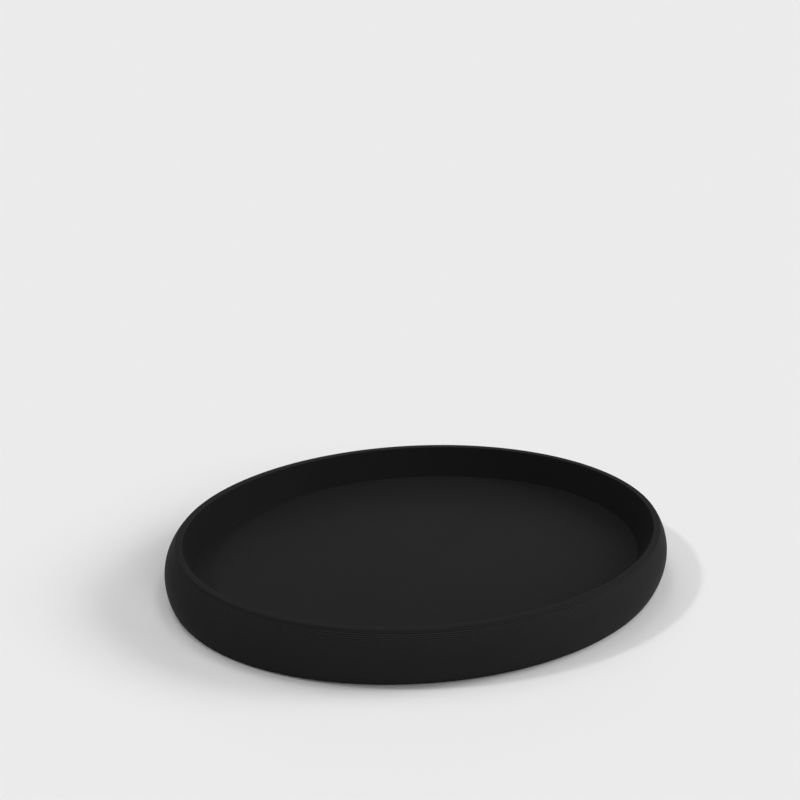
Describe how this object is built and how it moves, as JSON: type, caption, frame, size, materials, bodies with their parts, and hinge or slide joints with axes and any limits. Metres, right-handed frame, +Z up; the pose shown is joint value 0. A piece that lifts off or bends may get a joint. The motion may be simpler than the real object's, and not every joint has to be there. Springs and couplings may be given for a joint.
{
  "type": "soap dish",
  "caption": "Shallow oval soap dish with a flat floor, a leaning inner wall, a narrow flat rim and a finely ribbed, barrel-shaped outer wall, standing on a bonded non-slip pad.",
  "frame": {"origin": "on the surface that the dish stands on, under the middle of the oval", "axes": "+X along the oval's long axis, +Y along its short axis, +Z up out of the dish"},
  "size_m": [0.135, 0.102, 0.0138],
  "materials": {
    "dish_body": "matte black, smooth floor and rim, fine level ribs round the outer wall",
    "non_slip_pad": "dull black, fine grain"
  },
  "bodies": {
    "root": {"dish_body": "dish_body", "non_slip_pad": "non_slip_pad"}
  },
  "joints": []
}
